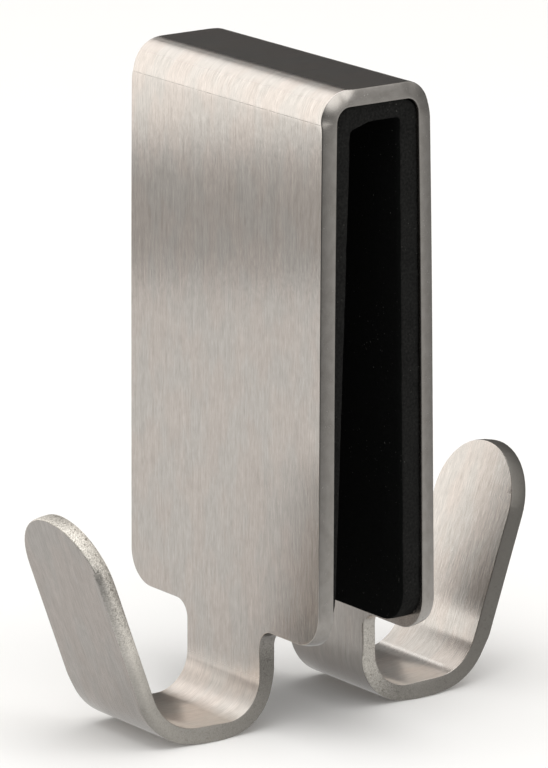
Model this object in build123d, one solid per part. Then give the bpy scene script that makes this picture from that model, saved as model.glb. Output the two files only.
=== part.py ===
from build123d import *
import os
from math import cos, radians, sin, tan

# A double hook that hangs over the top edge of a glass panel.
# One stainless sheet is blanked, folded over the panel and bent into a hook at each end.
# A strip of black foam rubber lines the fold and grips the glass.
# Millimetres. X runs across the hook, Y from front (minus) to back, Z up.
# The origin is the middle of the foam seat that rests on the panel's top edge.

# Sheet
thickness = 2.0
edge_roll = 0.4  # rounding that the blanking die leaves round the outer face

# Fold over the panel
width = 40.0
depth = 16.0  # over the outer faces, at the top
plate_drop = 68.3  # from the top face down to a plate's bottom edge
plate_corner = 4.5
front_fold_inner = 1.9
back_fold_inner = 1.7
front_splay = 0.3  # degrees that the front plate leans out
back_splay = 0.8  # degrees that the back plate leans out

# Neck and hook, along the face that lies inside the hook
neck_width = 15.9
neck_fillet = 1.9
neck_drop = 10.7  # from a plate's bottom edge to the corner under the neck
floor_length = 13.8  # from that corner to the corner under the tongue
floor_rise = 1.8  # degrees
front_tongue_length = 29.0  # from the corner under the tongue to its tip
back_tongue_length = 28.1
front_tongue_lean = 20.0  # degrees out from upright
back_tongue_lean = 18.9
front_hook_radii = (4.7, 6.9)
back_hook_radii = (5.0, 5.9)

# Foam lining
foam = 2.5
seat_foam = 2.2  # over the seat the foam is stretched a little thinner
foam_inset = 0.4  # steel that shows beside the foam
foam_short = 1.4  # steel that shows below the foam
foam_end_corner = 4.2
foam_taper = 2.6  # how much the front leg's foam narrows towards its lower end
foam_fold_slack = 0.7  # the foam turns wider than the steel that it is folded against
bunch_width = 2.8  # the foam bunches up in the front corner of the seat
bunch_drop = 0.9
bunch_radius = 3.0
seat_corner = 0.4

FRONT = -1
BACK = 1
SPLAY = {FRONT: front_splay, BACK: back_splay}
HOOK_RADII = {FRONT: front_hook_radii, BACK: back_hook_radii}
TONGUE_LENGTH = {FRONT: front_tongue_length, BACK: back_tongue_length}
TONGUE_LEAN = {FRONT: front_tongue_lean, BACK: back_tongue_lean}
SHEET_SIDE = {FRONT: Side.LEFT, BACK: Side.RIGHT}  # side of the line, going down to the hook

top = thickness + seat_foam
plate_bottom = top - plate_drop
neck_middle = plate_bottom - neck_drop / 2


def plate_point(side, z, inward=0.0):
    """Side-view point at height z, on a plate's outer face or on a parallel one further in."""
    lean = radians(SPLAY[side])
    return (side * (depth / 2 - inward / cos(lean) + (top - z) * tan(lean)), z)


def step(point, side, length, angle):
    """Side-view point that lies a length away, outwards and at an angle above level."""
    y, z = point
    return (y + side * length * cos(radians(angle)), z + length * sin(radians(angle)))


def hook_corners(side):
    """Side-view corners of the face inside a hook, from the middle of the neck to the tip."""
    under_neck = plate_point(side, plate_bottom - neck_drop)
    under_tongue = step(under_neck, side, floor_length, floor_rise)
    tip = step(under_tongue, side, TONGUE_LENGTH[side], 90 - TONGUE_LEAN[side])
    return [plate_point(side, neck_middle), under_neck, under_tongue, tip]


def fold_corners():
    """Side-view corners of the sheet's outer face, from one neck over the top to the other."""
    return [
        plate_point(FRONT, neck_middle),
        plate_point(FRONT, top),
        plate_point(BACK, top),
        plate_point(BACK, neck_middle),
    ]


def fold_line():
    return FilletPolyline(*fold_corners(), radius=[front_fold_inner + thickness, back_fold_inner + thickness])


def hook_line(side):
    return FilletPolyline(*hook_corners(side), radius=HOOK_RADII[side])


def bent_sheet(line, sheet_side, across):
    """Solid sheet that lies on one side of a side-view line, at a width across X."""
    section = make_face(offset(line, amount=thickness, side=sheet_side))
    return extrude(Plane.YZ * section, amount=across / 2, both=True)


def plate_outline():
    """Front view of a plate with its neck."""
    plate = Pos(0, top - plate_drop / 2) * Rectangle(width, plate_drop)
    plate = fillet(plate.vertices().group_by(Axis.Y)[0], plate_corner)
    outline = plate + Pos(0, plate_bottom) * Rectangle(neck_width, 2 * neck_drop)
    bottom_edge = outline.vertices().group_by(Axis.Y)[1].sort_by(Axis.X)
    return fillet(bottom_edge[1:3], neck_fillet)


def through(outline, start, end):
    """Solid with a front-view outline, from one Y to another."""
    return Pos(0, start, 0) * extrude(Plane.XZ * outline, amount=start - end)


def saddle():
    """Both plates, the fold between them and the upper half of each neck."""
    folded = bent_sheet(fold_line(), Side.RIGHT, width)
    return folded & through(plate_outline(), -depth, depth)


def tongue_plane(side):
    """Plane of a tongue's inner face, with its origin at the tip and its Y along the tongue."""
    y, z = hook_corners(side)[-1]
    lean = radians(TONGUE_LEAN[side])
    return Plane(origin=(0, y, z), x_dir=(1, 0, 0), z_dir=(0, -cos(lean), side * sin(lean)))


def hook(side):
    """Lower half of a neck, the hook's floor and its tongue with a half-round tip."""
    bent = bent_sheet(hook_line(side), SHEET_SIDE[side], neck_width)
    tip_radius = neck_width / 2
    end_of_tongue = Pos(0, -tip_radius) * Rectangle(2 * neck_width, neck_width, align=(Align.CENTER, Align.MIN))
    waste = end_of_tongue - Pos(0, -tip_radius) * Circle(tip_radius)
    return bent - extrude(tongue_plane(side) * waste, amount=2 * thickness, both=True)


def on_line(face, line):
    """Whether a face's surface runs along a side-view line."""
    point = face.position_at(0.5, 0.5)
    return line.distance_to(Vertex(point.Y, point.Z, 0)) < thickness / 10


def rim(faces):
    """Edges that bound a group of faces, without the seams between them."""
    edges = [edge for face in faces for edge in face.edges()]
    return [edge for edge in edges if sum(edge.is_same(other) for other in edges) == 1]


def hook_body():
    """The whole folded sheet, with the outer face's rim rolled over as a blanking die leaves it."""
    sheet = saddle() + hook(FRONT) + hook(BACK)
    lines = [fold_line(), hook_line(FRONT), hook_line(BACK)]
    outer_faces = [face for face in sheet.faces() if any(on_line(face, line) for line in lines)]
    return fillet(rim(outer_faces), edge_roll)


def foam_section():
    """Side view of the strip in the fold."""
    foam_end = plate_bottom + foam_short
    face_in = thickness
    skin_in = thickness + foam
    seat_front = plate_point(FRONT, 0, skin_in)[0]
    corners = [
        plate_point(FRONT, foam_end, face_in),
        plate_point(FRONT, top - thickness, face_in),
        plate_point(BACK, top - thickness, face_in),
        plate_point(BACK, foam_end, face_in),
        plate_point(BACK, foam_end, skin_in),
        plate_point(BACK, 0, skin_in),
        (seat_front + bunch_width, 0),
        plate_point(FRONT, -bunch_drop, skin_in),
        plate_point(FRONT, foam_end, skin_in),
    ]
    radii = {
        1: front_fold_inner + foam_fold_slack,
        2: back_fold_inner + foam_fold_slack,
        5: seat_corner,
        6: bunch_radius,
        7: seat_corner,
    }
    section = make_face(Polyline(*corners, close=True))
    for index, radius in radii.items():
        corner = section.vertices().sort_by_distance(corners[index])[0]
        section = fillet(corner, radius)
    return section


def foam_outline(taper):
    """Front view of one leg of the strip, narrowed at its lower right end."""
    foam_end = plate_bottom + foam_short
    side_x = width / 2 - foam_inset
    outline = make_face(
        Polyline((-side_x, top), (side_x, top), (side_x - taper, foam_end), (-side_x, foam_end), close=True)
    )
    return fillet(outline.vertices().group_by(Axis.Y)[0], foam_end_corner)


def foam_lining():
    """One strip of foam rubber, folded in against the steel and cut with rounded ends."""
    strip = extrude(Plane.YZ * foam_section(), amount=width / 2, both=True)
    front_leg = strip & through(foam_outline(foam_taper), -depth, 0)
    back_leg = strip & through(foam_outline(0), 0, depth)
    return front_leg + back_leg


def main():
    os.makedirs("parts", exist_ok=True)
    export_step(hook_body(), "parts/hook_body.step")
    export_step(foam_lining(), "parts/foam_lining.step")


main()
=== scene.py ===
from itertools import accumulate
from math import atan2, cos, hypot, pi, radians, sin, sqrt, tan

import bmesh
import bpy
from mathutils import Matrix, Vector, noise

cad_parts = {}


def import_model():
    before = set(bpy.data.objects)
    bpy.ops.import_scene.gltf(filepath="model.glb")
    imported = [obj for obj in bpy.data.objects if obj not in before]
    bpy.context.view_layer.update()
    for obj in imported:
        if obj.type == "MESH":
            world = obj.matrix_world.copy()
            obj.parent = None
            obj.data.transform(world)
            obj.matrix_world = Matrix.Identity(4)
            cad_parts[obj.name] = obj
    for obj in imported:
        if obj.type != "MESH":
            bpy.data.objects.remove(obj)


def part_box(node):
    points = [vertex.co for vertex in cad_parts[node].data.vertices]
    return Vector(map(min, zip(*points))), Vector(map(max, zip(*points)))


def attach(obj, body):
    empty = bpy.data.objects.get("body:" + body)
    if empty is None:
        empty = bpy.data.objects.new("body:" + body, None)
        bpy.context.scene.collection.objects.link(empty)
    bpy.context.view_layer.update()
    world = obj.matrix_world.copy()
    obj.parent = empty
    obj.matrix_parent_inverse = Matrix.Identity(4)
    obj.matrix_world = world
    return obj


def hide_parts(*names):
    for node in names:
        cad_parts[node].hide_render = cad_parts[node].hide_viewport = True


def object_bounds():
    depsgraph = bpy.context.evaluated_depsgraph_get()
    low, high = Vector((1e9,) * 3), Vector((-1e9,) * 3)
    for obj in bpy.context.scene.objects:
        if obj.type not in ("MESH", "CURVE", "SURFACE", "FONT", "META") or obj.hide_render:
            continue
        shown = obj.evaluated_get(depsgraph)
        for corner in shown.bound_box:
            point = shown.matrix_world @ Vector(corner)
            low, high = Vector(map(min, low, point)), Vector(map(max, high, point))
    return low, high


# Looks of a double hook: one blanked and folded strip of brushed stainless steel, lined with foam rubber.
# Sizes are in millimetres, apart from the studio's, and become metres where a mesh is made.
# X runs across, Y to the back, Z up. The strip's outer face is the one that lies outside at the fold
# over the panel. As the hooks are bent the other way, it lies inside them.
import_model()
cad_low, cad_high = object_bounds()
MM = 0.001
steel_low, steel_high = [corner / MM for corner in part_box("hook_body")]

# Camera
camera_target = Vector((-0.35, -0.49, -36.04))
camera_azimuth = 54.33  # degrees, from straight in front towards the right
camera_elevation = 14.37
camera_distance = 841.1
camera_lens = 325.4  # on a 36 mm sensor along the picture's height
camera_reach = (0.01, 50)  # metres between which it sees

# Sheet
thickness = 2.0
rim_radius = 0.12  # rounding of the outer face's rim
edge_draw = 0.34  # how far a blanked edge leans in towards the outer face
burr_radius = 0.1  # rounding of the inner face's rim

# Fold over the panel
width = steel_high.x - steel_low.x
top = steel_high.z
depth = 16.0
plate_drop = 68.3
plate_corner = 4.5
front_splay = 0.3  # degrees
back_splay = 0.8
fold_radii = (3.9, 3.7)  # of the outer face, front and back
front_bow = 0.11  # how far a plate is pulled in where it meets the fold
back_bow = 0.17
bow_reach = 30.0

# Necks and hooks, along the outer face
neck_width = 15.9
neck_fillet = 1.9
neck_drop = 10.7
floor_length = 13.8
floor_rise = 1.8  # degrees
front_tongue_length = 29.0
back_tongue_length = 28.1
front_tongue_lean = 20.0  # degrees
back_tongue_lean = 18.9
front_hook_radii = (4.7, 6.9)  # of the bends under the neck and under the tongue
back_hook_radii = (5.0, 5.9)

# Marks that bending and punching leave
bend_draw = 0.34  # how far the stretched face of a bend is drawn in at its edges
bend_fade = 1.0  # length over which a bend's marks fade out
fade_rows = (-1, -0.5, 0.5, 1)  # rows of vertices beside each end of a bend, as shares of that length
crease_place = 0.32  # share of the back tongue's bend where a fine crease crosses it
crease_side = 6.0  # x where the crease ends
ledge_begin = 5.4  # from the front tip to where its right edge is sheared lower
ledge_end = 31.0
ledge_depth = 0.62  # how far the edge is cut in at the inner face
ledge_top = 0.85  # depth below the outer face where the ledge begins to round off
ledge_reach = (1.2, 0.4)  # distances from the edge between which the ledge grows to its full depth
ledge_runout = 8.0  # length over which it dies away

# Mesh density of the strip
bend_step = 4.5  # degrees between rows on a bend
run_step = 1.4  # between rows on a straight run, and between columns
row_gap = 0.35  # between rows where the ledge begins; half of it is the least gap anywhere
ledge_rows = 4
corner_steps = 14  # along each rounded corner of the blank
rim_steps = 4
wall_steps = 12
weld_distance = 0.001
cut_tolerance = 0.0001
flat_face_weight = 80  # how much the large faces steer the shading

FRONT = -1
BACK = 1
SPLAY = {FRONT: front_splay, BACK: back_splay}
TONGUE_LENGTH = {FRONT: front_tongue_length, BACK: back_tongue_length}
TONGUE_LEAN = {FRONT: front_tongue_lean, BACK: back_tongue_lean}
plate_bottom = top - plate_drop

# Foam
foam = 2.5
seat_foam = 2.2
foam_inset = 0.4  # steel that shows beside the foam
foam_short = 1.4  # steel that shows below the foam
foam_side = width / 2 - foam_inset
foam_end = plate_bottom + foam_short
foam_end_corner = 4.2
foam_taper = 2.6  # how much the front leg narrows on the right towards its lower end
foam_fold_slack = 0.7  # the foam turns wider than the steel that it is folded against
bunch_width = 2.8  # the foam bunches up in the front corner of the seat
bunch_drop = 0.9
skin_radii = (0.5, 3.0, 0.5)  # of the skin's corners, from front to back
foam_rim = 0.16  # rounding between the skin and a cut face
foam_step = 0.45
foam_columns = 30
foam_levels = 9
foam_corner_steps = 8
pit_depth = 0.13  # unevenness of a cut face
pit_size = 0.8
rag_depth = 0.16  # waviness of a cut edge
rag_length = 2.6
wave_depth = 0.07  # unevenness of the skin
wave_length = 5.0


def smooth(value, low, high):
    """Rises from 0 to 1 between two values, with level ends."""
    share = min(1, max(0, (value - low) / (high - low)))
    return share * share * (3 - 2 * share)


def plate_y(side, z, inward=0.0):
    """Outer face of a plate at height z, or a parallel face further in."""
    lean = radians(SPLAY[side])
    return side * (depth / 2 - inward / cos(lean) + (top - z) * tan(lean))


def step(point, side, length, angle):
    """Side-view point that lies a length away, outwards and at an angle above level."""
    y, z = point
    return (y + side * length * cos(radians(angle)), z + length * sin(radians(angle)))


def hook_corners(side):
    """Side-view corners of the face inside a hook: under the neck, under the tongue, and the tip."""
    under_neck_z = plate_bottom - neck_drop
    under_neck = (plate_y(side, under_neck_z), under_neck_z)
    under_tongue = step(under_neck, side, floor_length, floor_rise)
    tip = step(under_tongue, side, TONGUE_LENGTH[side], 90 - TONGUE_LEAN[side])
    return [under_neck, under_tongue, tip]


def strip_corners():
    """Side-view corners of the sheet's outer face, from the front tip over the fold to the back tip."""
    fold = [(plate_y(FRONT, top), top), (plate_y(BACK, top), top)]
    return hook_corners(FRONT)[::-1] + fold + hook_corners(BACK)


class Route:
    """A side-view line of straight runs joined by tangent arcs, measured along its length."""

    def __init__(self, corners, radii):
        headings = [atan2(b[1] - a[1], b[0] - a[0]) for a, b in zip(corners, corners[1:])]
        lengths = [hypot(b[0] - a[0], b[1] - a[1]) for a, b in zip(corners, corners[1:])]
        turns = [(b - a + pi) % (2 * pi) - pi for a, b in zip(headings, headings[1:])]
        trims = [0] + [radius * tan(abs(turn) / 2) for radius, turn in zip(radii, turns)] + [0]
        self.pieces = []
        for index, heading in enumerate(headings):
            start = Vector(corners[index]) + trims[index] * Vector((cos(heading), sin(heading)))
            self.add(lengths[index] - trims[index] - trims[index + 1], start, heading, 0)
            if index < len(turns):
                end = Vector(corners[index + 1]) - trims[index + 1] * Vector((cos(heading), sin(heading)))
                turn = turns[index]
                self.add(radii[index] * abs(turn), end, heading, turn / abs(turn) / radii[index])
        ends = list(accumulate(piece["length"] for piece in self.pieces))
        for piece, end in zip(self.pieces, ends):
            piece["begin"] = end - piece["length"]
            piece["end"] = end
        self.bends = [piece for piece in self.pieces if piece["curvature"]]
        self.runs = [piece for piece in self.pieces if not piece["curvature"]]
        self.length = ends[-1]

    def add(self, length, start, heading, curvature):
        self.pieces.append({"length": length, "start": start, "heading": heading, "curvature": curvature})

    def at(self, distance):
        """Point and outward normal at a distance along the line."""
        piece = next((p for p in self.pieces if distance <= p["end"]), self.pieces[-1])
        along = distance - piece["begin"]
        heading = piece["heading"]
        curvature = piece["curvature"]
        if curvature:
            turned = heading + curvature * along
            moved = Vector((sin(turned) - sin(heading), cos(heading) - cos(turned))) / curvature
        else:
            turned = heading
            moved = along * Vector((cos(heading), sin(heading)))
        return piece["start"] + moved, Vector((-sin(turned), cos(turned)))

    def rows(self, spacing):
        """Distances at which a strip gets a row of vertices."""
        distances = []
        for piece in self.pieces:
            size = radians(bend_step) / abs(piece["curvature"]) if piece["curvature"] else spacing
            count = max(1, round(piece["length"] / size))
            distances += [piece["begin"] + piece["length"] * index / count for index in range(count)]
        return distances[1:]


route = Route(strip_corners(), front_hook_radii[::-1] + fold_radii + back_hook_radii)
front_tongue_bend, front_neck_bend, front_fold, back_fold, back_neck_bend, back_tongue_bend = route.bends
front_run, back_run = route.runs[2], route.runs[4]


def distance_at(run, z):
    """Distance along the route where a plate's straight run passes height z."""
    return run["begin"] + (z - run["start"].y) / sin(run["heading"])


# How much bending has dulled the outer face along the strip: (distance from the front tip, amount)
strain_levels = (
    (front_tongue_bend["begin"] - 3, 0.0),
    (front_tongue_bend["begin"] + 1, 0.5),
    (front_neck_bend["begin"], 0.6),
    (front_neck_bend["begin"] + 2.5, 1.0),
    (front_neck_bend["end"] - 4, 1.0),
    (front_neck_bend["end"] + 4, 0.0),
    (front_fold["begin"] + 1, 0.0),
    (front_fold["end"] - 2.5, 0.6),
    (front_fold["end"] - 0.5, 0.6),
    (front_fold["end"] + 1.5, 0.0),
    (back_neck_bend["begin"] - 4, 0.0),
    (back_neck_bend["begin"] + 4, 1.0),
    (back_neck_bend["end"], 0.6),
    (back_tongue_bend["end"] - 1, 0.45),
    (back_tongue_bend["end"] + 5, 0.0),
)
crease = back_tongue_bend["begin"] + crease_place * back_tongue_bend["length"]
plate_begin = distance_at(front_run, plate_bottom)
plate_end = distance_at(back_run, plate_bottom)


def bow(into_bend, bend_length, pull):
    """Inward shift of a plate, which grows up the plate and dies away within the fold's bend."""
    if into_bend <= 0:
        return pull * max(0, 1 + into_bend / bow_reach) ** 2
    share = min(1, into_bend / bend_length)
    slope = 2 * pull * bend_length / bow_reach
    return pull * (2 * share**3 - 3 * share**2 + 1) + slope * (share**3 - 2 * share**2 + share)


def sink(distance):
    """How far the sheet lies inside its route at a distance along it."""
    front = bow(distance - front_fold["begin"], front_fold["length"], front_bow)
    back = bow(back_fold["end"] - distance, back_fold["length"], back_bow)
    return front + back


def bending(distance):
    """1 on a bend of the fold and -1 on a bend of a hook, fading out on the straight runs."""
    total = 0
    for bend in route.bends:
        begun = smooth(distance, bend["begin"] - bend_fade, bend["begin"] + bend_fade)
        ended = smooth(distance, bend["end"] - bend_fade, bend["end"] + bend_fade)
        total += (begun - ended) * (-1 if bend["curvature"] > 0 else 1)
    return total


def graded(distance, stops):
    """Value at a distance, eased between stops of (distance, value)."""
    for (low, first), (high, last) in zip(stops, stops[1:]):
        if distance <= high:
            return first + (last - first) * smooth(distance, low, high)
    return last


def strip_rows():
    """Distances of the strip's rows of vertices, with more where bending and punching left marks."""
    ends = [bend[end] for bend in route.bends for end in ("begin", "end")]
    faded = [end + bend_fade * share for end in ends for share in fade_rows]
    ledge = [ledge_begin + row_gap * number for number in range(ledge_rows)]
    rows = []
    for distance in sorted(ends + faded + ledge) + route.rows(run_step):
        off_shoulders = min(abs(distance - plate_begin), abs(distance - plate_end)) > rim_radius + edge_draw
        if off_shoulders and all(abs(distance - other) > row_gap / 2 for other in rows):
            rows.append(distance)
    return rows


def blank_corners():
    """Corners of the flat blank as (x, distance along the strip, radius, whether it is hollow)."""
    half_neck = neck_width / 2
    half_width = width / 2
    right = [
        (half_neck, 0, half_neck, False),
        (half_neck, plate_begin, neck_fillet, True),
        (half_width, plate_begin, plate_corner, False),
        (half_width, plate_end, plate_corner, False),
        (half_neck, plate_end, neck_fillet, True),
        (half_neck, route.length, half_neck, False),
    ]
    left = [(-x, s, radius, hollow) for x, s, radius, hollow in right[::-1]]
    return right + left


def blank_loop(inset):
    """Outline of the blank, moved inwards by an inset, as flat points with arcs at its corners."""
    corners = blank_corners()
    points = []
    for index, (x, s, radius, hollow) in enumerate(corners):
        corner = Vector((x, s))
        before = (corner - Vector(corners[index - 1][:2])).normalized()
        after = (Vector(corners[(index + 1) % len(corners)][:2]) - corner).normalized()
        centre = corner - radius * before + radius * after
        reach = radius + inset if hollow else radius - inset
        for number in range(corner_steps + 1):
            angle = number / corner_steps * pi / 2
            points.append(centre - reach * (after * cos(angle) - before * sin(angle)))
    return points


def wall_inset(deep):
    """Inset of a blanked edge at a depth below the outer face."""
    return edge_draw * (1 - deep / thickness) ** 2


def edge_profile():
    """Section of a blanked edge as (inset, depth) pairs: crisp rim, drawn wall and fine burr."""
    tilt = atan2(2 * edge_draw, thickness)
    wall_top = rim_radius * (1 - sin(tilt))
    rim_centre = wall_inset(wall_top) + rim_radius * cos(tilt)
    rim = []
    for number in range(rim_steps + 1):
        angle = (pi / 2 - tilt) * number / rim_steps
        rim.append((rim_centre - rim_radius * sin(angle), rim_radius * (1 - cos(angle))))
    wall_bottom = thickness - burr_radius
    wall = []
    for number in range(1, wall_steps + 1):
        deep = wall_top + (wall_bottom - wall_top) * number / wall_steps
        wall.append((wall_inset(deep), deep))
    burr = [
        (burr_radius * (1 - cos(angle)), thickness - burr_radius * (1 - sin(angle)))
        for angle in (pi / 4, pi / 2)
    ]
    return rim + wall + burr


def flat_blank():
    """The blank before it is bent, in millimetres, as (x, distance along the strip, minus depth)."""
    blank = bmesh.new()
    profile = edge_profile()
    loops = [[blank.verts.new((x, s, -deep)) for x, s in blank_loop(inset)] for inset, deep in profile]
    count = len(loops[0])
    blank.faces.new(loops[0])
    blank.faces.new(loops[-1][::-1])
    for level, (upper, lower) in enumerate(zip(loops, loops[1:])):
        for index in range(count):
            after = (index + 1) % count
            face = blank.faces.new((upper[index], lower[index], lower[after], upper[after]))
            face.material_index = 1 if level >= rim_steps // 2 else 0
    bmesh.ops.remove_doubles(blank, verts=blank.verts, dist=weld_distance)
    bmesh.ops.recalc_face_normals(blank, faces=blank.faces)
    return blank


def cut(blank, point, normal):
    """Cuts the blank's faces along a plane and keeps both sides."""
    everything = blank.verts[:] + blank.edges[:] + blank.faces[:]
    bmesh.ops.bisect_plane(blank, geom=everything, dist=cut_tolerance, plane_co=point, plane_no=normal)


def edge_marks(x, distance, deep):
    """The x of a point of the strip once bending has drawn it in and the punch has left its ledge."""
    bend = bending(distance)
    stretched = 1 - deep / thickness if bend > 0 else deep / thickness
    half_width = width / 2 if plate_begin < distance < plate_end else neck_width / 2
    x *= 1 - bend_draw * abs(bend) * stretched / half_width
    if x > 0 and distance < ledge_end:
        before_middle = neck_width / 2 - distance
        outline = sqrt(max(0, (neck_width / 2) ** 2 - max(0, before_middle) ** 2))
        inside, full = ledge_reach
        at_edge = smooth(x, outline - inside, outline - full)
        begun = smooth(distance, ledge_begin, ledge_begin + row_gap)
        ended = smooth(distance, ledge_end - ledge_runout, ledge_end)
        rounded = max(0, (deep - ledge_top) / (thickness - ledge_top)) ** 2
        x -= ledge_depth * at_edge * (begun - ended) * rounded
    return x


def steel_strip():
    """The folded sheet with its rims, drawn edges and bending marks."""
    blank = flat_blank()
    columns = round(width / run_step)
    for index in range(1, columns):
        cut(blank, (-width / 2 + width * index / columns, 0, 0), (1, 0, 0))
    for distance in strip_rows():
        cut(blank, (0, distance, 0), (0, 1, 0))
    mesh = bpy.data.meshes.new("steel_strip")
    blank.to_mesh(mesh)
    blank.free()
    flat = [vertex.co.copy() for vertex in mesh.vertices]
    for name, kind in (("strip", "FLOAT_VECTOR"), ("strain", "FLOAT")):
        mesh.attributes.new(name, kind, "POINT")
    strip, strain = mesh.attributes["strip"], mesh.attributes["strain"]
    for vertex, (x, distance, height) in zip(mesh.vertices, flat):
        strip.data[vertex.index].vector = Vector((x, distance, height)) * MM
        strain.data[vertex.index].value = graded(distance, strain_levels)
        point, normal = route.at(distance)
        side_view = point + (height - sink(distance)) * normal
        vertex.co = Vector((edge_marks(x, distance, -height), side_view.x, side_view.y)) * MM
    grain = mesh.uv_layers.new(name="grain")
    for loop in mesh.loops:
        x, distance, _ = flat[loop.vertex_index]
        grain.data[loop.index].uv = (x / width + 0.5, distance / route.length)
    mesh.shade_smooth()
    return new_piece("steel_strip", mesh, "hook_body")


def new_piece(name, mesh, node):
    """A piece of the object that stands for a CAD node."""
    piece = bpy.data.objects.new(name, mesh)
    bpy.context.scene.collection.objects.link(piece)
    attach(piece, "root")
    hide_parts(node)
    return piece


def foam_back_route():
    """Side view of the foam's face against the steel, from the front leg's end to the back leg's."""
    face_top = top - thickness
    corners = [(plate_y(side, z, thickness), z) for side, z in (
        (FRONT, foam_end), (FRONT, face_top), (BACK, face_top), (BACK, foam_end)
    )]
    return Route(corners, [radius - thickness + foam_fold_slack for radius in fold_radii])


def foam_skin_route():
    """Side view of the foam's free face, bunched up in the front corner of the seat."""
    skin_in = thickness + foam
    seat = top - thickness - seat_foam
    seat_front = plate_y(FRONT, seat, skin_in)
    corners = [
        (plate_y(FRONT, foam_end, skin_in), foam_end),
        (plate_y(FRONT, seat - bunch_drop, skin_in), seat - bunch_drop),
        (seat_front + bunch_width, seat),
        (plate_y(BACK, seat, skin_in), seat),
        (plate_y(BACK, foam_end, skin_in), foam_end),
    ]
    return Route(corners, skin_radii)


def foam_edges(distance, length):
    """Left and right x of the foam at a distance along it."""
    leg = top - foam_end
    taper = foam_taper * max(0, 1 - distance / leg)
    from_end = min(distance, length - distance)
    rounded = foam_end_corner - sqrt(max(0, foam_end_corner**2 - max(0, foam_end_corner - from_end) ** 2))
    left = -foam_side + rounded
    right = foam_side - taper - rounded
    rag = rag_depth * noise.noise(Vector((distance / rag_length, 0, 0)))
    return left - rag, right + min(0, rag)


def foam_stations(length):
    """Distances along the foam: close together on the end corners, then even."""
    angles = [number / foam_corner_steps * pi / 2 for number in range(foam_corner_steps + 1)]
    ends = [foam_end_corner * (1 - cos(angle)) for angle in angles]
    inner = length - 2 * foam_end_corner
    count = round(inner / foam_step)
    mirror_glow = [foam_end_corner + inner * number / count for number in range(1, count)]
    return ends + mirror_glow + [length - distance for distance in ends[::-1]]


def foam_keys(back, skin):
    """Matching distances along the foam's face against the steel and along its skin."""
    first_bend, last_bend = back.bends
    seat_front, seat_rise, seat_back = skin.bends
    return [
        (0, 0),
        (first_bend["begin"], seat_front["begin"]),
        (first_bend["end"], seat_rise["begin"]),
        (last_bend["begin"], seat_back["begin"]),
        (last_bend["end"], seat_back["end"]),
        (back.length, skin.length),
    ]


def foam_section(back, skin, distance):
    """Side-view points on the steel's side and on the skin's side of the foam at a distance along it."""
    keys = foam_keys(back, skin)
    for (back_low, skin_low), (back_high, skin_high) in zip(keys, keys[1:]):
        if distance <= back_high:
            break
    share = (distance - back_low) / (back_high - back_low)
    return back.at(distance)[0], skin.at(skin_low + (skin_high - skin_low) * min(1, share))[0]


def unevenness(spot, size):
    """Smooth noise from 0 to 1 at a spot, with features of a size."""
    return 0.5 + 0.5 * noise.noise(spot / size)


def foam_spot(section, edges, column, level):
    """A point of the foam, by its column across and its level from the steel to the skin."""
    near, far = section
    left, right = edges
    share = level / foam_levels
    inside = near.lerp(far, share)
    to_skin = (1 - share) * foam
    rounding = foam_rim - sqrt(max(0, foam_rim**2 - max(0, foam_rim - to_skin) ** 2))
    x = left + rounding + (right - left - 2 * rounding) * column / foam_columns
    spot = Vector((x, inside.x, inside.y))
    if column in (0, foam_columns):
        pit = pit_depth * unevenness(spot, pit_size) * (1 - rounding / foam_rim)
        spot.x += pit if column == 0 else -pit
    if level == foam_levels:
        outward = (near - far).normalized()
        spot += wave_depth * unevenness(spot, wave_length) * Vector((0, outward.x, outward.y))
    return spot


class FoamLattice:
    """The surface of the foam as a closed lattice of rows along it, columns across and levels through it."""

    def __init__(self):
        self.back = foam_back_route()
        self.skin = foam_skin_route()
        self.stations = foam_stations(self.back.length)
        self.places = {}
        self.coordinates = []
        self.faces = []
        self.is_cut = []

    def place(self, row, column, level):
        """Index of a lattice point, which is made when it is first asked for."""
        if (row, column, level) not in self.places:
            distance = self.stations[row]
            section = foam_section(self.back, self.skin, distance)
            edges = foam_edges(distance, self.back.length)
            self.places[row, column, level] = len(self.coordinates)
            self.coordinates.append(foam_spot(section, edges, column, level) * MM)
        return self.places[row, column, level]

    def add_side(self, first, second, corner, is_cut):
        """Adds one side's faces. corner(i, j) gives a point's row, column and level."""
        for i in range(first - 1):
            for j in range(second - 1):
                ring = ((i, j), (i + 1, j), (i + 1, j + 1), (i, j + 1))
                self.faces.append([self.place(*corner(a, b)) for a, b in ring])
                self.is_cut.append(is_cut)

    def add_sides(self):
        rows, columns, levels = len(self.stations), foam_columns + 1, foam_levels + 1
        self.add_side(rows, columns, lambda i, j: (i, j, foam_levels), False)
        self.add_side(rows, columns, lambda i, j: (i, foam_columns - j, 0), False)
        self.add_side(rows, levels, lambda i, j: (i, 0, j), True)
        self.add_side(rows, levels, lambda i, j: (i, foam_columns, foam_levels - j), True)
        self.add_side(columns, levels, lambda i, j: (0, foam_columns - i, j), True)
        self.add_side(columns, levels, lambda i, j: (rows - 1, i, j), True)


def turn_faces_outwards(mesh):
    turned = bmesh.new()
    turned.from_mesh(mesh)
    bmesh.ops.recalc_face_normals(turned, faces=turned.faces)
    turned.to_mesh(mesh)
    turned.free()


def foam_strip():
    """The foam lining: a closed strip with a soft skin and ragged, pitted cut faces."""
    lattice = FoamLattice()
    lattice.add_sides()
    mesh = bpy.data.meshes.new("foam_strip")
    mesh.from_pydata(lattice.coordinates, [], lattice.faces)
    for polygon, is_cut in zip(mesh.polygons, lattice.is_cut):
        polygon.material_index = 1 if is_cut else 0
    turn_faces_outwards(mesh)
    mesh.shade_smooth()
    piece = new_piece("foam_strip", mesh, "foam_lining")
    return piece


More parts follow.
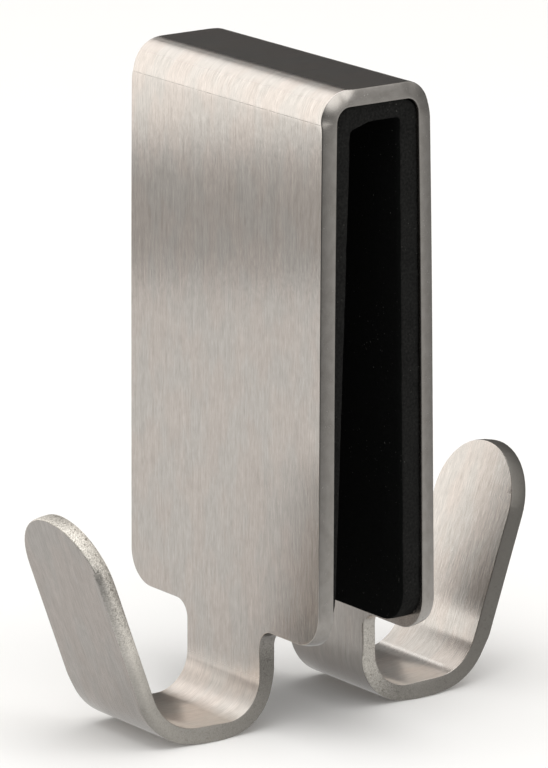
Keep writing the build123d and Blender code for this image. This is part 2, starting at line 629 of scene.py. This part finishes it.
class Shader:
    """Short ways to build a node tree."""

    def __init__(self, tree):
        self.tree = tree
        tree.nodes.clear()

    def put(self, socket, value):
        """Links a socket to an input, or sets a value on it."""
        if isinstance(value, bpy.types.NodeSocket):
            self.tree.links.new(value, socket)
        else:
            socket.default_value = value

    def add(self, kind, settings=(), **inputs):
        """A node with its settings and inputs."""
        node = self.tree.nodes.new("ShaderNode" + kind)
        for name, value in dict(settings).items():
            setattr(node, name, value)
        for name, value in inputs.items():
            self.put(node.inputs[name.replace("_", " ")], value)
        return node

    def math(self, operation, first, second=0.0):
        node = self.add("Math", {"operation": operation})
        self.put(node.inputs[0], first)
        self.put(node.inputs[1], second)
        return node.outputs[0]

    def spread(self, value, low, high, to_low, to_high, eased=False):
        """Maps a value from one range to another, clamped."""
        kind = "SMOOTHSTEP" if eased else "LINEAR"
        node = self.add("MapRange", {"interpolation_type": kind}, Value=value)
        for name, number in {"From Min": low, "From Max": high, "To Min": to_low, "To Max": to_high}.items():
            self.put(node.inputs[name], number)
        return node.outputs["Result"]

    def blend(self, share, first, second):
        """A number between two numbers."""
        node = self.add("Mix", {"data_type": "FLOAT"})
        for socket, value in zip(node.inputs[:1] + node.inputs[2:4], (share, first, second)):
            self.put(socket, value)
        return node.outputs[0]

    def mix(self, share, first, second):
        """A colour between two colours."""
        node = self.add("Mix", {"data_type": "RGBA"})
        for socket, value in zip(node.inputs[:1] + node.inputs[6:8], (share, first, second)):
            self.put(socket, value)
        return node.outputs[2]

    def times(self, first, second):
        return self.math("MULTIPLY", first, second)

    def weigh(self, *pairs):
        """Sum of values, each times its weight."""
        total = 0.0
        for value, weight in pairs:
            total = self.math("ADD", self.times(value, weight), total)
        return total

    def apart(self, value, place):
        """How far a value lies from a place, on either side."""
        return self.math("ABSOLUTE", self.math("SUBTRACT", value, place))

    def vector_math(self, operation, first, second=None, output=0):
        node = self.add("VectorMath", {"operation": operation})
        self.put(node.inputs[0], first)
        if second is not None:
            self.put(node.inputs[1], second)
        return node.outputs[output]

    def scaled(self, colour, level):
        """A colour times a level."""
        node = self.add("VectorMath", {"operation": "SCALE"}, Scale=level)
        self.put(node.inputs[0], colour)
        return node.outputs[0]

    def noise(self, place, size, detail=2.0):
        """Noise whose features have a size in millimetres along each axis of a place in metres."""
        scaled = self.add("Mapping", Vector=place, Scale=[1 / (length * MM) for length in size])
        return self.add("TexNoise", Vector=scaled.outputs[0], Scale=1.0, Detail=detail).outputs["Fac"]

    def ramp(self, position, stops):
        """A level by position, for stops of (position, level)."""
        node = self.add("ValToRGB", Fac=position)
        node.color_ramp.interpolation = "EASE"
        elements = node.color_ramp.elements
        elements.remove(elements[1])
        elements[0].position = stops[0][0]
        for place, _ in stops[1:]:
            elements.new(place)
        for element, (_, level) in zip(elements, stops):
            element.color = (level, level, level, 1)
        return node.outputs["Color"]


def new_material(name):
    material = bpy.data.materials.new(name)
    material.use_nodes = True
    return material, Shader(material.node_tree)


def flat_place(shader):
    """Place on the flat strip, and its parts: X across, Y along and Z minus the depth, in metres."""
    place = shader.add("Attribute", {"attribute_name": "strip"}).outputs["Vector"]
    return place, shader.add("SeparateXYZ", Vector=place).outputs


def by_distance(shader, along, stops):
    """A level by distance along the strip. A ramp holds levels up to 1, so it holds the halves."""
    share = shader.math("DIVIDE", along, route.length * MM)
    half = shader.ramp(share, [(distance / route.length, level / 2) for distance, level in stops])
    return shader.times(half, 2.0)


# Finish of the steel. Noise sizes are across the strip, along it and through it.
# Its levels along the strip were chosen by comparing the render's brightness with the photo's,
# so they partly stand in for the photo's light.
hair_size = (0.17, 3.4, 0.6)
fine_size = (0.15, 0.9, 0.6)
mottle_size = (0.9, 2.0, 1.0)
streak_size = (0.7, 16, 1)
cloud_size = (7, 12, 5)
tint_size = (4, 9, 5)
groove_shares = (0.36, 0.26, 0.18, 0.20)  # of hair, fine, streak and mottle
groove_range = (0.36, 0.64)  # between which a groove's height turns its tone from dark to light
groove_depth = 0.018
warm_tones = ((0.445, 0.404, 0.370, 1), (0.600, 0.549, 0.509, 1))  # in the grooves and between them
cool_tones = ((0.431, 0.406, 0.377, 1), (0.584, 0.551, 0.518, 1))
tint_range = (0.4, 0.6)
# Dark tone of the die line, also used for the painted shade on the inner face
dark_tone = (0.12, 0.11, 0.10, 1)
crease_highlight_tone = (0.95, 0.93, 0.90, 1)
streak_range = (0.3, 0.7)
streak_roughness = (0.185, 0.205)
strain_threshold = 0.4  # amount of bending that begins to dull the outer face
strain_roughness = 0.42  # added to the outer face where bending has dulled it most
cloud_roughness = 0.02
steel_anisotropy = 0.9
die_line = front_fold["begin"]  # the bending die has left a faint line here
die_line_width = 0.09
die_line_breaks = (0.42, 0.6)  # of the hair noise, between which the line comes to show
die_line_strength = 0.17
die_line_rise = -0.5
# Painted highlight along the crease in the back tongue's bend
crease_width = 0.45
crease_fade = 1.0
crease_highlight_strength = 0.28

# Painted light and shade on the outer face, so inside the hooks: (distance from the front tip, level)
painted_face_light = (
    (front_tongue_bend["begin"], 1.0),
    (front_tongue_bend["end"], 1.15),
    (front_neck_bend["begin"], 1.15),
    (front_neck_bend["begin"] + 4, 1.1),
    (front_neck_bend["end"] - 1, 1.5),
    (front_neck_bend["end"] + 1, 1.0),
    (back_neck_bend["begin"], 1.0),
    (back_neck_bend["end"], 1.1),
    (back_tongue_bend["begin"], 1.1),
    (back_tongue_bend["begin"] + 3, 0.75),
    (back_tongue_bend["end"], 1.0),
)
# Painted shade on the inner face, so on the underside of the hooks, deepest at the back neck's bend:
# (distance, share of the dark tone)
painted_inner_shade = (
    (back_neck_bend["begin"] - 2, 0.3),
    (back_neck_bend["begin"] + 3, 0.75),
    (back_neck_bend["end"], 0.6),
    (back_tongue_bend["begin"], 0.3),
)


def steel_face(shader, place, brushed):
    """Colour of the brushed face, warm in some places and cool in others."""
    warm = shader.mix(brushed, *warm_tones)
    cool = shader.mix(brushed, *cool_tones)
    tint = shader.noise(place, tint_size, detail=3.0)
    return shader.mix(shader.spread(tint, *tint_range, 0, 1, eased=True), warm, cool)


def shaded_face(shader, face, along, outer):
    """The face's colour with painted light and shade along the strip on either side of the sheet."""
    level = shader.blend(outer, 1.0, by_distance(shader, along, painted_face_light))
    shade = shader.blend(outer, by_distance(shader, along, painted_inner_shade), 0.0)
    return shader.mix(shade, shader.scaled(face, level), dark_tone)


def die_mark(shader, along, hair):
    """1 on the line that the bending die has left, broken up by the brushing."""
    near = shader.spread(shader.apart(along, die_line * MM), 0, die_line_width * MM, 1, 0, eased=True)
    return shader.times(near, shader.spread(hair, *die_line_breaks, 0, 1))


def painted_crease_highlight(shader, along, across):
    """1 on the painted highlight along the crease inside the back hook, which ends short of the right edge.
    """
    near = shader.spread(shader.apart(along, crease * MM), 0, crease_width * MM, 1, 0, eased=True)
    return shader.times(near, shader.spread(across, (crease_side - crease_fade) * MM, crease_side * MM, 1, 0))


def brushed_steel():
    """Stainless sheet, brushed along the strip and duller on the outer face of its bends."""
    material, shader = new_material("brushed_steel")
    place, parts = flat_place(shader)
    strain = shader.add("Attribute", {"attribute_name": "strain"}).outputs["Fac"]
    hair = shader.noise(place, hair_size, detail=1.5)
    fine = shader.noise(place, fine_size, detail=1.0)
    mottle = shader.noise(place, mottle_size)
    streak = shader.noise(place, streak_size)
    grooves = shader.weigh(*zip((hair, fine, streak, mottle), groove_shares))
    outer = shader.spread(parts["Z"], -thickness * MM, -thickness / 2 * MM, 0, 1)
    face = steel_face(shader, place, shader.spread(grooves, *groove_range, 0, 1))
    # Painted light and shade along the strip, on both faces of the sheet
    tone = shaded_face(shader, face, parts["Y"], outer)
    line = die_mark(shader, parts["Y"], hair)
    # Painted highlight along the crease
    crease_highlight = painted_crease_highlight(shader, parts["Y"], parts["X"])
    marked = shader.mix(shader.times(line, die_line_strength), tone, dark_tone)
    dull = shader.times(shader.spread(strain, strain_threshold, 1, 0, strain_roughness), outer)
    gloss = shader.weigh(
        (shader.spread(streak, *streak_range, *streak_roughness), 1),
        (shader.noise(place, cloud_size), cloud_roughness),
        (dull, 1),
    )
    height = shader.weigh((grooves, 1), (line, die_line_rise))
    bump = shader.add("Bump", Height=height, Strength=1.0, Distance=groove_depth * MM)
    tangent = shader.add("Tangent", {"direction_type": "UV_MAP", "uv_map": "grain"})
    surface = shader.add(
        "BsdfPrincipled",
        Base_Color=shader.mix(shader.times(crease_highlight, crease_highlight_strength), marked, crease_highlight_tone),
        Metallic=1.0,
        Roughness=gloss,
        Anisotropic=steel_anisotropy,
        Normal=bump.outputs[0],
        Tangent=tangent.outputs[0],
    )
    shader.add("OutputMaterial", Surface=surface.outputs[0])
    return material


# The blanked edge, satin on the plates and torn round the tongues
grain_size = (0.16, 0.16, 0.16)
pits_size = (0.32, 0.4, 0.32)
marks_size = (0.25, 0.25, 2.0)
blotch_size = (1.4, 1.4, 0.9)
drawn_tones = ((0.37, 0.352, 0.33, 1), (0.32, 0.302, 0.28, 1))
torn_tones = ((0.30, 0.28, 0.25, 1), (0.62, 0.595, 0.55, 1))
blotch_range = (0.35, 0.7)
grain_range = (0.36, 0.64)
pit_tone = (0.12, 0.11, 0.09, 1)
pit_range = (0.60, 0.68)
pit_strength = 0.7
# Painted shade on the punch's ledge
ledge_shade_tone = (0.16, 0.155, 0.15, 1)
ledge_shade_strength = 0.75
ledge_rag = (-1, 1)  # how far the painted shade's ends are pulled to and fro
rag_range = (0.3, 0.7)
torn_fade = 3.0  # length over which the edge turns from drawn to torn
tip_reach = (9.0, 4.0)  # distances from a tip between which its edge grows duller
relief_shares = (0.55, 0.45)  # of grain and marks
relief_range = (0.3, 0.7)
relief_roughness = (0.22, 0.28)
relief_strength = 0.6
torn_roughness = 0.16
tip_roughness = 0.12
drawn_relief = 0.008
torn_relief = 0.03

# Painted light and shade along the blanked edge: (distance from the front tip, level)
painted_edge_light = (
    (0, 1.15),
    (10, 1.5),
    (16, 1.65),
    (21, 1.2),
    (26, 0.88),
    (34, 0.72),
    (40, 0.60),
    (46, 0.42),
    (50, 0.70),
    (54, 1.0),
    (route.length - 54, 1.0),
    (route.length - 49, 1.15),
    (route.length - 43, 1.1),
    (route.length - 37, 0.55),
    (route.length - 22, 0.40),
    (route.length, 0.37),
)
# How grainy the blanked edge is, from 0 to 1
edge_grains = (
    (0, 1.0),
    (12, 0.8),
    (20, 0.25),
    (40, 0.25),
    (50, 0.6),
    (54, 0.0),
    (route.length - 54, 0.0),
    (route.length - 50, 0.6),
    (route.length - 40, 0.6),
    (route.length - 34, 0.25),
    (route.length, 0.15),
)
# Painted shade on the punch's ledge along the strip, from 0 to 1
ledge_shade_stops = (
    (ledge_begin - 3, 0.0),
    (ledge_begin, 0.55),
    (ledge_begin + 1, 1.0),
    (ledge_begin + 8, 0.65),
    (ledge_end - 6, 0.45),
    (ledge_end, 0.0),
)


def ledge_painted_shade(shader, parts, pits):
    """Painted shade on the punch's ledge at a place, with ragged ends."""
    low = shader.spread(parts["Z"], -ledge_top * MM, -thickness * MM, 0, 1, eased=True)
    pulled = shader.spread(pits, *rag_range, *[length * MM for length in ledge_rag])
    ragged = shader.math("ADD", parts["Y"], pulled)
    along = shader.times(low, by_distance(shader, ragged, ledge_shade_stops))
    return shader.times(along, shader.spread(parts["X"], 0, MM, 0, ledge_shade_strength))


def edge_tone(shader, parts, grain, grainy, torn, pits, blotch):
    """Colour of the blanked edge with the painted shade on the punch's ledge, before its painted light along
    the strip.
    """
    pitted = shader.times(shader.spread(pits, *pit_range, 0, pit_strength), grainy)
    drawn = shader.mix(shader.spread(blotch, *blotch_range, 0, 1), *drawn_tones)
    speckle = shader.blend(grainy, 0.5, shader.spread(grain, *grain_range, 0, 1))
    rough = shader.mix(speckle, *torn_tones)
    plain = shader.mix(pitted, shader.mix(torn, drawn, rough), pit_tone)
    return shader.mix(ledge_painted_shade(shader, parts, pits), plain, ledge_shade_tone)


def sheared_steel():
    """The blanked edge of the sheet: satin on the plates, torn and grainy round the tongues."""
    material, shader = new_material("sheared_steel")
    place, parts = flat_place(shader)
    grain = shader.noise(place, grain_size, detail=3.0)
    pits = shader.noise(place, pits_size)
    blotch = shader.noise(place, blotch_size, detail=3.0)
    relief = shader.weigh(*zip((grain, shader.noise(place, marks_size)), relief_shares))
    from_middle = shader.apart(parts["Y"], (plate_begin + plate_end) / 2 * MM)
    reach = (plate_end - plate_begin) / 2 * MM
    torn = shader.spread(from_middle, reach, reach + torn_fade * MM, 0, 1, eased=True)
    tip_ends = [(route.length / 2 - distance) * MM for distance in tip_reach]
    tip = shader.spread(from_middle, *tip_ends, 0, 1, eased=True)
    grainy = by_distance(shader, parts["Y"], edge_grains)
    tone = edge_tone(shader, parts, grain, grainy, torn, pits, blotch)
    uneven = shader.spread(relief, *relief_range, *relief_roughness)
    gloss = shader.weigh((uneven, 1), (torn, torn_roughness), (tip, tip_roughness))
    deep = shader.blend(grainy, drawn_relief * MM, torn_relief * MM)
    bump = shader.add("Bump", Height=relief, Strength=relief_strength, Distance=deep)
    # The edge's tone is scaled by painted light and shade along the strip
    surface = shader.add(
        "BsdfPrincipled",
        Base_Color=shader.scaled(tone, by_distance(shader, parts["Y"], painted_edge_light)),
        Metallic=1.0,
        Roughness=gloss,
        Normal=bump.outputs[0],
    )
    shader.add("OutputMaterial", Surface=surface.outputs[0])
    return material


# Finish of the foam
skin_tones = ((0.0024, 0.0027, 0.0026, 1), (0.0050, 0.0054, 0.0052, 1))
cut_tones = ((0.006, 0.006, 0.006, 1), (0.020, 0.020, 0.019, 1))
cell_size = (0.3, 0.3, 0.3)
cell_range = (0.35, 0.7)
cell_strength = 0.7
foam_mottle_size = (1.8, 1.8, 2.6)
foam_shares = (0.6, 0.4)  # of cells and mottle
dust_tone = (0.10, 0.10, 0.09, 1)
dust_size = (0.24, 0.24, 0.3)
dust_range = (0.745, 0.79)
dust_strength = 0.6
skin_relief = 0.03
cut_relief = 0.12
foam_roughness = 0.95
foam_specular = 0.04


def foam_material(name, tones, relief):
    """Black foam with fine cells and a few specks of dust."""
    material, shader = new_material(name)
    place = shader.add("TexCoord").outputs["Object"]
    cells = shader.noise(place, cell_size, detail=4.0)
    mottle = shader.noise(place, foam_mottle_size, detail=3.0)
    specks = shader.noise(place, dust_size, detail=1.0)
    share = shader.weigh(*zip((shader.spread(cells, *cell_range, 0, 1), mottle), foam_shares))
    tone = shader.mix(share, *tones)
    dusty = shader.mix(shader.spread(specks, *dust_range, 0, dust_strength), tone, dust_tone)
    bump = shader.add("Bump", Height=cells, Strength=cell_strength, Distance=relief * MM)
    surface = shader.add("BsdfPrincipled", Base_Color=dusty, Roughness=foam_roughness, Normal=bump.outputs[0])
    surface.inputs["Specular IOR Level"].default_value = foam_specular
    shader.add("OutputMaterial", Surface=surface.outputs[0])
    return material


# Studio, in metres, with angles in degrees
floor_reach = 6.0
floor_tone = (0.86, 0.855, 0.845, 1)
softbox_tone = (1, 0.985, 0.96, 1)
softbox_distance = 0.233  # from the front plate, along its mirrored view
softbox_reach = (-0.25, 0.40)  # along the softbox, towards the front and towards the back
softbox_height = 0.45
softbox_lift = 0.0005  # above the floor
softbox_rises = ((0.019, 0.0275, 0.95), (0.0275, 0.045, 0.25))  # heights where it gains light, and how much
softbox_lowest = 0.55
softbox_fade = 0.12  # length over which it dims towards its back end
softbox_far_level = 0.1
overhead_place = (0.1, -0.1, 0.75)
overhead_size = 0.9
overhead_power = 4.5
right_light = (96, 28)  # azimuth and elevation of a small light that only the steel mirrors
right_light_edges = (24, 10)  # angles from its middle between which it grows to its full level
right_light_level = 1.7
dark_side = 135  # angle of the darker surroundings, from straight in front towards the left
dark_side_slope = 0.35  # how steeply their middle lies above level
dark_side_edges = (60, 32)  # angles from their middle between which they darken
dark_side_level = 0.145
sky_begin = (0.1, 0.5)  # heights of a direction between which the low surroundings turn into sky
sky_level = 0.85  # of the sky, and a factor on the low surroundings
backdrop_level = 0.95  # of the surroundings that the camera sees
world_tone = (1, 0.99, 0.975, 1)
near_floor = (0.03, 0.16)  # distances between which the floor's mirror image changes
near_floor_level = 0.90
floor_mirror_strength = 1.15
floor_mirror_share = 0.6  # how much of the floor's mirror image is painted light, a glow free of shadows
# What lies low round the object, as its steel mirrors it, by degrees from straight in front towards the right
surroundings = (
    (-180, 0.30),
    (-130, 0.60),
    (-95, 0.94),
    (-25, 0.94),
    (5, 0.05),
    (58, 0.05),
    (75, 0.17),
    (90, 0.36),
    (107, 0.55),
    (126, 0.72),
    (140, 0.51),
    (158, 0.38),
    (180, 0.30),
)


def direction(azimuth, elevation):
    """Unit direction, at degrees from straight in front towards the right and degrees above level."""
    turn = radians(azimuth)
    rise = radians(elevation)
    return Vector((sin(turn) * cos(rise), -cos(turn) * cos(rise), sin(rise)))


def mirrored_level(shader, place):
    """Level of the surroundings in a level direction."""
    parts = shader.add("SeparateXYZ", Vector=place)
    angle = shader.math("ARCTAN2", parts.outputs["X"], shader.times(parts.outputs["Y"], -1.0))
    share = shader.spread(angle, -pi, pi, 0, 1)
    return shader.ramp(share, [((degrees + 180) / 360, level) for degrees, level in surroundings])


def floor():
    """Plain pale floor under the hooks. Its mirror image in the steel is painted light and shade: it fades to
    the studio's dark sides and partly glows, free of shadows.
    """
    mesh = bpy.data.meshes.new("floor")
    level = cad_low.z
    corners = [(x * floor_reach, y * floor_reach, level) for x, y in ((-1, -1), (1, -1), (1, 1), (-1, 1))]
    mesh.from_pydata(corners, [], [range(4)])
    material, shader = new_material("pale_floor")
    place = shader.add("TexCoord").outputs["Object"]
    away = shader.vector_math("LENGTH", shader.vector_math("MULTIPLY", place, (1, 1, 0)), output="Value")
    far = shader.spread(away, *near_floor, 0, 1, eased=True)
    in_steel = shader.blend(far, near_floor_level, mirrored_level(shader, place))
    mirrored = shader.add("LightPath").outputs["Is Glossy Ray"]
    share = shader.blend(mirrored, 1.0, in_steel)
    tone = shader.mix(share, (0, 0, 0, 1), floor_tone)
    lit = shader.add("BsdfDiffuse", Color=tone, Roughness=0.5)
    # Painted light: the floor glows in the steel's mirror image
    mirror_glow = shader.add("Emission", Color=tone, Strength=floor_mirror_strength)
    surface = shader.add("MixShader", Fac=shader.times(mirrored, floor_mirror_share))
    shader.put(surface.inputs[1], lit.outputs[0])
    shader.put(surface.inputs[2], mirror_glow.outputs[0])
    shader.add("OutputMaterial", Surface=surface.outputs[0])
    mesh.materials.append(material)
    ground = bpy.data.objects.new("floor", mesh)
    bpy.context.scene.collection.objects.link(ground)


def softbox():
    """Tall soft light in front on the left, for mirror images alone, dimmer near the floor and the back."""
    aim = direction(-camera_azimuth, 0)
    along = Vector((aim.y, -aim.x, 0))
    foot = Vector((0, -depth / 2 * MM, cad_low.z + softbox_lift)) + softbox_distance * aim
    front, back = softbox_reach
    mesh = bpy.data.meshes.new("softbox")
    corners = [(front, 0, 0), (back, 0, 0), (back, 0, softbox_height), (front, 0, softbox_height)]
    mesh.from_pydata(corners, [], [range(4)])
    material, shader = new_material("softbox")
    local = shader.add("SeparateXYZ", Vector=shader.add("TexCoord").outputs["Object"])
    gains = [(shader.spread(local.outputs["Z"], low, high, 0, gain), 1) for low, high, gain in softbox_rises]
    rise = shader.math("ADD", shader.weigh(*gains), softbox_lowest)
    fade = shader.spread(local.outputs["X"], back - softbox_fade, back, 1, softbox_far_level, eased=True)
    light = shader.add("Emission", Color=softbox_tone, Strength=shader.times(rise, fade))
    shader.add("OutputMaterial", Surface=light.outputs[0])
    mesh.materials.append(material)
    box = bpy.data.objects.new("softbox", mesh)
    across = Vector((0, 0, 1)).cross(along)
    turn = Matrix((along, across, Vector((0, 0, 1)))).transposed().to_4x4()
    box.matrix_world = Matrix.Translation(foot) @ turn
    box.visible_camera = False
    box.visible_shadow = False
    box.visible_diffuse = False
    bpy.context.scene.collection.objects.link(box)


def overhead_light():
    light = bpy.data.lights.new("overhead", "AREA")
    light.shape = "SQUARE"
    light.size = overhead_size
    light.energy = overhead_power
    lamp = bpy.data.objects.new("overhead", light)
    lamp.location = overhead_place
    bpy.context.scene.collection.objects.link(lamp)


def world_lobe(shader, view, middle, edges, begin, full):
    """Level that changes with the angle from a middle direction, between two angles."""
    towards = shader.vector_math("DOT_PRODUCT", view, middle, output="Value")
    return shader.spread(towards, *[cos(radians(angle)) for angle in edges], begin, full, eased=True)


def world():
    """Pale surroundings. In the steel they darken low in front on the right, and behind the left side."""
    scenery = bpy.data.worlds.new("studio")
    scenery.use_nodes = True
    shader = Shader(scenery.node_tree)
    view = shader.add("TexCoord").outputs["Generated"]
    dark = (direction(-dark_side, 0) + Vector((0, 0, dark_side_slope))).normalized()
    darkened = world_lobe(shader, view, dark, dark_side_edges, 1, dark_side_level)
    glow = world_lobe(shader, view, direction(*right_light), right_light_edges, 0, right_light_level)
    height = shader.add("SeparateXYZ", Vector=view).outputs["Z"]
    raised = shader.spread(height, *sky_begin, 0, 1, eased=True)
    low = shader.times(mirrored_level(shader, view), sky_level)
    in_steel = shader.math("ADD", shader.times(shader.blend(raised, low, sky_level), darkened), glow)
    path = shader.add("LightPath").outputs
    unseen = shader.blend(path["Is Glossy Ray"], sky_level, in_steel)
    strength = shader.blend(path["Is Camera Ray"], unseen, backdrop_level)
    light = shader.add("Background", Color=world_tone, Strength=strength)
    shader.add("OutputWorld", Surface=light.outputs[0])
    bpy.context.scene.world = scenery


def camera():
    lens = bpy.data.cameras.new("camera")
    lens.lens = camera_lens
    lens.clip_start, lens.clip_end = camera_reach
    eye = bpy.data.objects.new("camera", lens)
    back = direction(camera_azimuth, camera_elevation)
    eye.location = (camera_target + camera_distance * back) * MM
    eye.rotation_mode = "QUATERNION"
    eye.rotation_quaternion = (-back).to_track_quat("-Z", "Y")
    bpy.context.scene.collection.objects.link(eye)
    bpy.context.scene.camera = eye


steel = steel_strip()
steel.data.materials.append(brushed_steel())
steel.data.materials.append(sheared_steel())
weighted = steel.modifiers.new("even_shading", "WEIGHTED_NORMAL")
weighted.weight = flat_face_weight
lining = foam_strip()
lining.data.materials.append(foam_material("foam_skin", skin_tones, skin_relief))
lining.data.materials.append(foam_material("foam_cut", cut_tones, cut_relief))
floor()
softbox()
overhead_light()
world()
camera()
bpy.context.scene.view_settings.view_transform = "Standard"
